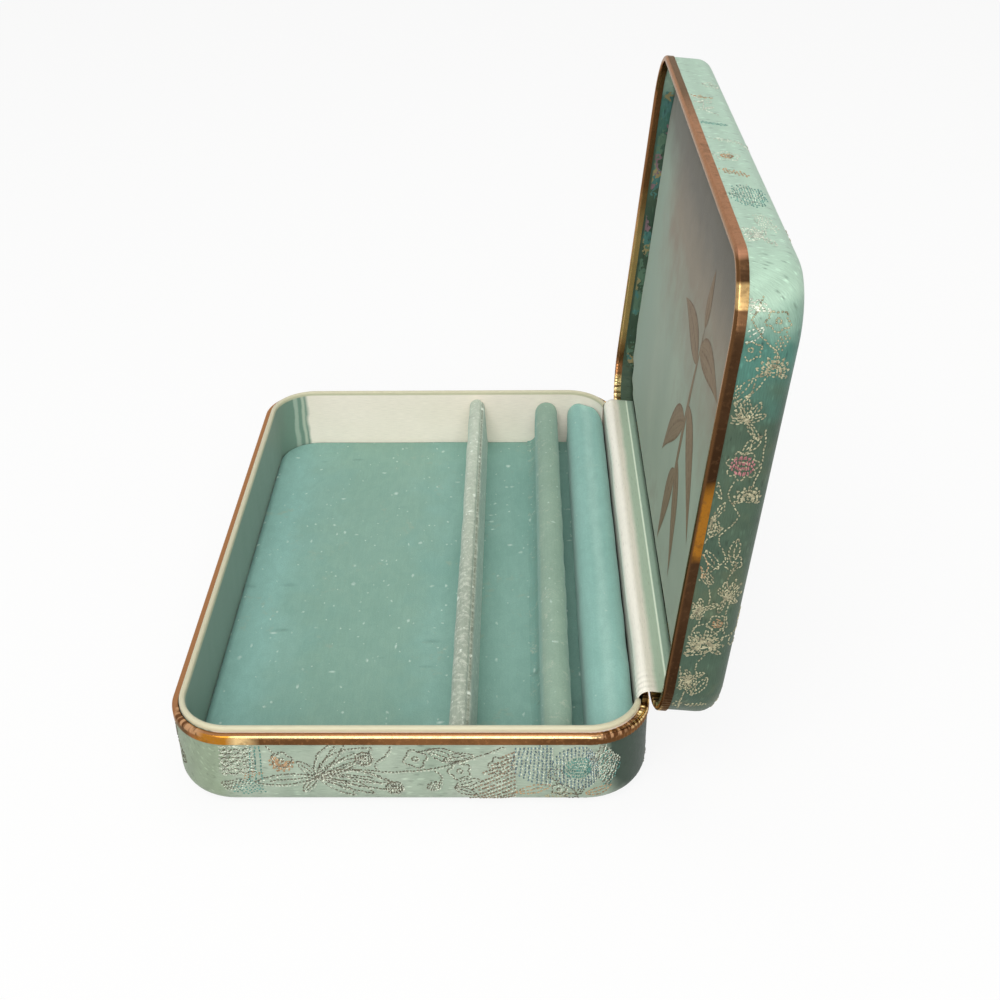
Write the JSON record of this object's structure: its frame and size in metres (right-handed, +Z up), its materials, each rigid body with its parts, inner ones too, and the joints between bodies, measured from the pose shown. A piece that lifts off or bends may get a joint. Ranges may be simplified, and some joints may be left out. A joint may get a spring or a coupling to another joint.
{
  "type": "jewellery keepsake case",
  "caption": "Clamshell keepsake case covered in silk brocade with brass rims, velvet floor, divider and ring rolls; the padded lid swings on two pinned hinges.",
  "frame": {"origin": "centre of the flat underside of the base", "axes": "+Y along the hinge and the longest side, +X from the front rim to the hinge, +Z up; the rest pose is the lid open at 95.5 degrees"},
  "size_m": [0.1434, 0.178, 0.1401],
  "materials": {
    "board": "matt pressed board",
    "brocade": "mint satin ground with stitched figures",
    "brass": "polished copper gold",
    "hinge_brass": "brushed",
    "pin_steel": "drawn wire",
    "spring_steel": "rolled strip",
    "ivory_satin": "ivory satin",
    "sage_satin": "sage satin with a printed sprig",
    "velvet": "short teal pile with lint",
    "wadding": "soft white wadding"
  },
  "bodies": {
    "base": {"base_shell": "board", "base_brocade": "brocade", "base_rim": "brass", "base_wall_card": "board", "base_wall_satin": "ivory_satin", "floor_board": "board", "floor_velvet": "velvet", "divider_core": "board", "divider_velvet": "velvet", "inner_ring_roll_core": "wadding", "inner_ring_roll_velvet": "velvet", "outer_ring_roll_core": "wadding", "outer_ring_roll_velvet": "velvet", "base_hinge_leaf_near": "hinge_brass", "base_hinge_leaf_far": "hinge_brass", "hinge_pin_near": "pin_steel", "hinge_pin_far": "pin_steel", "snap_spring_near": "spring_steel", "snap_spring_far": "spring_steel", "base_rivets": "hinge_brass", "hinge_gusset": "ivory_satin"},
    "lid": {"lid_shell": "board", "lid_brocade": "brocade", "lid_rim": "brass", "lid_pad_board": "board", "lid_pad_foam": "wadding", "lid_pad_satin": "sage_satin", "lid_hinge_leaf_near": "hinge_brass", "lid_hinge_leaf_far": "hinge_brass", "lid_rivets": "hinge_brass"}
  },
  "joints": [
    {"name": "lid_hinge", "type": "hinge", "parent": "base", "child": "lid", "pos_m": [0.0589, 0, 0.02285], "axis": [0, 1, 0], "range_deg": [-95.5, 0], "deforming": ["hinge_gusset"]}
  ]
}
